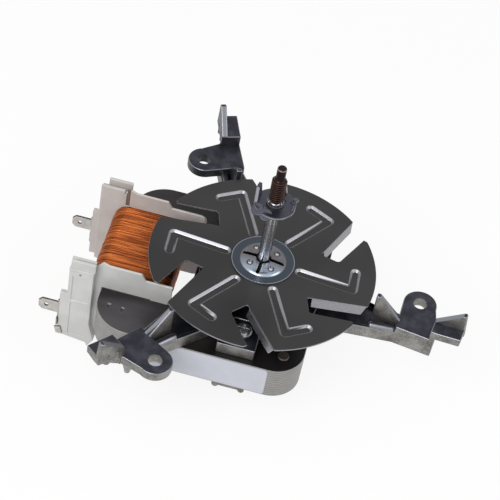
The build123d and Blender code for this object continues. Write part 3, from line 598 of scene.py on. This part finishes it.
ridge_height = thread_crest - thread_root + sink
ridge_width = thread_pitch * 0.25
root_widening = 3.4
ridge_start = Vector((thread_crest - ridge_height / 2, 0, thread_low + thread_pitch * 0.55))
bpy.ops.mesh.primitive_plane_add(size=1, rotation=(math.radians(90), 0, 0), location=ridge_start)
ridge = bpy.context.object
ridge.scale = (ridge_height, ridge_width, 1)
set_in_mesh(ridge)
bpy.ops.object.mode_set(mode="EDIT")
bpy.ops.mesh.select_all(action="SELECT")
bpy.ops.mesh.delete(type="ONLY_FACE")
bpy.ops.mesh.select_all(action="DESELECT")
bpy.ops.object.mode_set(mode="OBJECT")
resize_where(ridge, lambda corner: corner.x < thread_root, (1, 1, root_widening), ridge_start)
finish_with(ridge, "SCREW", screw_offset=thread_pitch, iterations=10, steps=28, render_steps=28)
bpy.ops.object.mode_set(mode="EDIT")
bpy.ops.mesh.select_all(action="SELECT")
bpy.ops.mesh.fill_holes(sides=4)
bpy.ops.mesh.select_all(action="SELECT")
bpy.ops.mesh.normals_make_consistent(inside=False)
bpy.ops.object.mode_set(mode="OBJECT")
even_shading(ridge, angle=50)
pick(shaft, ridge)
bpy.ops.object.join()
settle(shaft, "rotor", "shaft_steel", steel, "motor_shaft")

# Cooling fan
# The fan is pressed from sheet steel with a charcoal satin coat. Faces that are bent, cut or upright, picked
# by their facing, get a lighter metallic steel colour: partly thin coat over bare steel, partly painted
# reflected light.
coat = Finish("charcoal_coat", Specular_IOR_Level=0.4)
x, y, z = coat.place()
raised = z.rise(0.0045, 0.0052)
up = coat.facing()[2]
# Partly painted light: faces that are not flat get a lighter metallic colour than the coat.
bend = 1.0 - abs(up).rise(0.70, 0.985)
haze = coat.grain(0.03)
coat_speck = coat.grain(0.0009)
flat_coat = coat.blend(haze.rise(0.3, 0.7), (0.0075, 0.007, 0.0075, 1), (0.018, 0.0165, 0.0165, 1))
bare_steel_and_sheen = coat.blend(coat_speck, (0.235, 0.23, 0.25, 1), (0.35, 0.345, 0.37, 1))
coat.wear(Base_Color=coat.blend(bend, flat_coat, bare_steel_and_sheen), Metallic=bend * 0.9,
          Roughness=0.33 + coat_speck * 0.05 + bend * (raised * 0.24 - 0.15))
coat.relief(coat_speck * (1.0 - bend), depth=0.00002)

fan = one_skin("cooling_fan", "pressed_fan")
round_edges(fan, width=0.00028)
settle(fan, "rotor", "fan_sheet_steel", coat, "cooling_fan")

# Fan hub
# The push-on hub is sprung steel, zinc plated with a bluish tint: a flat flange and a dome cut by four slots
# into fingers that grip the shaft, each with a pressed dimple. The dome is painted much lighter than the
# flange, and lighter again at its front, as painted light; each dimple has a painted highlight in a ring of
# painted shade.
blue_zinc = Finish("blue_zinc", Metallic=0.95)
x, y, z = blue_zinc.place()
out = (x * x + y * y) ** 0.5
# Painted light: the dome is given a much lighter colour than the flange of the same sheet.
crown = 1.0 - out.rise(0.0089, 0.0093)
rim_line = out.rise(0.0121, 0.0124)
# Painted light: the dome is painted lighter towards its front.
front = 1.0 - y.rise(-0.009, 0.001)
glint = blue_zinc.grain(0.0018)
dome_colour = blue_zinc.blend(front * 0.8 + glint * 0.2, (0.12, 0.105, 0.105, 1), (0.37, 0.44, 0.53, 1))
slot_cosine = 0.9962
slot_sine = 0.0872
dimple_offset = 0.00431
along_dimples = abs(x * slot_cosine - y * slot_sine) - dimple_offset
across_dimples = abs(x * slot_sine + y * slot_cosine) - dimple_offset
from_dimple = (along_dimples * along_dimples + across_dimples * across_dimples) ** 0.5
# Painted shade in a ring round each dimple, and a painted highlight at its middle.
painted_dimple_shade = from_dimple.rise(0.0006, 0.0009) * (1.0 - from_dimple.rise(0.0012, 0.0016)) * 0.85
shine = 1.0 - from_dimple.rise(0.0004, 0.0008)
dome_colour = blue_zinc.blend(shine * 0.6, dome_colour, (0.85, 0.88, 0.92, 1))
dome_colour = blue_zinc.blend(painted_dimple_shade, dome_colour, (0.05, 0.05, 0.06, 1))
flange_colour = blue_zinc.blend(rim_line, (0.056, 0.066, 0.082, 1), (0.30, 0.33, 0.38, 1))
blue_zinc.wear(Base_Color=blue_zinc.blend(crown, flange_colour, dome_colour), Roughness=0.17 + glint * 0.14)

hub_sheet = 0.0007
hub_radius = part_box("fan_hub")[1][0]
fan_face = 0.0058
dome_rings = ((0.0034, 0.0), (0.0002, 0.00013), (0.0003, 0.00030), (0.0005, 0.00026), (0.0008, 0.00020),
              (0.0012, 0.00017), (0.0014, 0.00012), (0.00165, 0.00008))
bpy.ops.mesh.primitive_circle_add(vertices=96, radius=hub_radius, fill_type="NGON",
                                  location=(0, 0, fan_face + hub_sheet))
hub = bpy.context.object
hub.name = "sprung_hub"
set_in_mesh(hub)
bpy.ops.object.mode_set(mode="EDIT")
bpy.ops.mesh.select_all(action="SELECT")
for inwards, upwards in dome_rings:
    bpy.ops.mesh.inset(thickness=inwards)
    bpy.ops.transform.translate(value=(0, 0, upwards))
bpy.ops.mesh.delete(type="FACE")
bpy.ops.object.mode_set(mode="OBJECT")
finish_with(hub, "SOLIDIFY", thickness=hub_sheet, offset=-1)

slot_width = 0.0014
slot_reach = 0.0085
slot_height = 0.006
slot_turn = -5
end_rounding = slot_width * 0.49
for quarter in range(4):
    bar = block((slot_reach / 2, 0, fan_face), (slot_reach, slot_width, slot_height))
    bpy.ops.object.mode_set(mode="EDIT")
    bpy.ops.mesh.select_all(action="DESELECT")
    bpy.ops.object.mode_set(mode="OBJECT")
    for edge in bar.data.edges:
        first, second = (bar.data.vertices[corner].co for corner in edge.vertices)
        edge.select = min(first.x, second.x) > 0.001 and abs(first.z - second.z) > 0.001
    bpy.ops.object.mode_set(mode="EDIT")
    bpy.ops.mesh.select_mode(type="EDGE")
    bpy.ops.mesh.bevel(offset=end_rounding, segments=5)
    bpy.ops.mesh.select_mode(type="VERT")
    bpy.ops.object.mode_set(mode="OBJECT")
    bar.rotation_euler = (0, 0, math.radians(quarter * 90 + slot_turn))
    set_in_mesh(bar)
    cut_away(hub, bar)
dimple_radius = 0.0017
dimple_reach = 0.0061
dimple_height = 0.0087
for quarter in range(4):
    angle = math.radians(quarter * 90 + 45 + slot_turn)
    place = (dimple_reach * math.cos(angle), dimple_reach * math.sin(angle), dimple_height)
    bpy.ops.mesh.primitive_uv_sphere_add(segments=20, ring_count=10, radius=dimple_radius, location=place)
    cut_away(hub, bpy.context.object)
round_edges(hub, width=0.0001)
settle(hub, "rotor", "hub_steel", blue_zinc, "fan_hub")

# Drive washer
# The washer is pressed steel with upright wings that drive the hot-air wheel. It is zinc plated and slightly
# dull, with a few small pressed lobes; its steep faces, rounded edges and upright wings, carry a painted
# highlight.
dull_zinc = Finish("dull_zinc", Metallic=0.9)
# Painted highlight: faces steeper than level, the rounded edges and upright wings, are painted lighter.
edge = 1.0 - abs(dull_zinc.facing()[2]).rise(0.3, 0.55)
fleck = dull_zinc.grain(0.0012)
dull_zinc.wear(Base_Color=dull_zinc.blend(edge, (0.068, 0.068, 0.086, 1), (0.34, 0.34, 0.38, 1)),
               Roughness=0.26 + fleck * 0.16)

washer = one_skin("drive_washer", "winged_washer")
round_edges(washer, width=0.0003, steps=3)
washer_top = 0.0383
pressed_lobes = ((0.0019, 0.0007, (0.0045, 0.0040, washer_top), (0, 0)),
                 (0.0025, 0.0009, (-0.0058, -0.0044, washer_top - 0.0010), (30, -20)),
                 (0.0024, 0.0009, (-0.0021, -0.0064, washer_top - 0.0008), (31, 0)),
                 (0.0016, 0.0009, (0.0068, 0.0036, washer_top + 0.0002), (-10, -30)))
lobes = []
for radius, thickness, place, lean in pressed_lobes:
    bpy.ops.mesh.primitive_cylinder_add(vertices=24, radius=radius, depth=thickness, location=place,
                                        rotation=(math.radians(lean[0]), math.radians(lean[1]), 0))
    lobe = bpy.context.object
    set_in_mesh(lobe)
    round_edges(lobe, width=0.0002)
    lobes.append(lobe)
pick(washer, *lobes)
bpy.ops.object.join()
settle(washer, "rotor", "washer_zinc", dull_zinc, "drive_washer")

# Retaining ring
# A dull steel ring is pressed into the groove below the thread, where it stops the washer from working loose.
ring_steel = Finish("ring_steel", Metallic=0.9)
scuff = ring_steel.grain(0.0009)
ring_steel.wear(Base_Color=ring_steel.blend(scuff, (0.10, 0.10, 0.115, 1), (0.20, 0.20, 0.22, 1)),
                Roughness=0.3 + scuff * 0.15)

rim_from = 0.0034
ring = one_skin("retaining_ring", "groove_ring")
resize_where(ring, lambda corner: math.hypot(corner.x, corner.y) > rim_from, (0.9, 0.9, 1))
round_edges(ring, width=0.0002)
settle(ring, "rotor", "ring_steel", ring_steel, "retaining_ring")

# Floor, light and camera
# The motor stands on a plain white table under two soft boxes. The camera leans a little, as the photographer
# held it.
table_gap = 0.0005
bpy.ops.mesh.primitive_plane_add(size=6, location=(0, 0, cad_box[0][2] - table_gap))
table = bpy.context.object
table.name = "white_table"
board = Finish("white_board", Roughness=0.9)
board.shader.inputs["Base Color"].default_value = (0.85, 0.85, 0.85, 1)
seen = board.add("LightPath", {}, {}, "Is Camera Ray")
mirrored = board.add("LightPath", {}, {}, "Is Glossy Ray")
glow = board.add("Emission", {}, {"Color": (1, 1, 1, 1), "Strength": 1.0})
lit = Signal(board, board.shader.outputs[0])
mixed = board.add("MixShader", {}, {0: (seen + mirrored).rise(0.0, 1.0) * 0.88, 1: lit, 2: glow})
board.tree.links.new(mixed.socket, board.tree.nodes["Material Output"].inputs["Surface"])
table.data.materials.append(board.material)

world = bpy.data.worlds.new("white_room")
bpy.context.scene.world = world
world.use_nodes = True
air = world.node_tree
background = air.nodes["Background"]
background.inputs["Color"].default_value = (1, 1, 1, 1)
rays = air.nodes.new("ShaderNodeLightPath")
clear_view = rays.outputs["Is Camera Ray"]
for ray in ("Is Glossy Ray", "Is Transmission Ray"):
    either = air.nodes.new("ShaderNodeMath")
    either.operation = "MAXIMUM"
    air.links.new(clear_view, either.inputs[0])
    air.links.new(rays.outputs[ray], either.inputs[1])
    clear_view = either.outputs[0]
brightness = air.nodes.new("ShaderNodeMapRange")
brightness.inputs["To Min"].default_value = 0.55
brightness.inputs["To Max"].default_value = 1.0
air.links.new(clear_view, brightness.inputs["Value"])
air.links.new(brightness.outputs[0], background.inputs["Strength"])

lamps = (("key_box", (-0.35, -0.75, 0.85), 0.7, 9.0), ("side_box", (0.9, -0.1, 0.7), 0.6, 3.0))
for name, spot, size, power in lamps:
    bpy.ops.object.light_add(type="AREA", location=spot)
    lamp = bpy.context.object
    lamp.name = name
    lamp.data.size = size
    lamp.data.energy = power
    lamp.rotation_euler = (-Vector(spot)).to_track_quat("-Z", "Y").to_euler()

camera_place = (0.03074, -0.49105, 0.52914)
right = Vector((0.96673, 0.21633, 0.13652))
up = Vector((-0.25065, 0.69445, 0.67449))
back = Vector((0.05111, -0.68626, 0.72556))
photo_width = 500
focal_length = 1837.687
sensor_width = 36
bpy.ops.object.camera_add()
camera = bpy.context.object
stance = Matrix((right, up, back)).transposed().to_4x4()
camera.matrix_world = Matrix.Translation(camera_place) @ stance
camera.data.lens = focal_length / photo_width * sensor_width
camera.data.sensor_width = sensor_width
camera.data.clip_start = 0.01
bpy.context.scene.camera = camera
bpy.context.scene.view_settings.view_transform = "Standard"
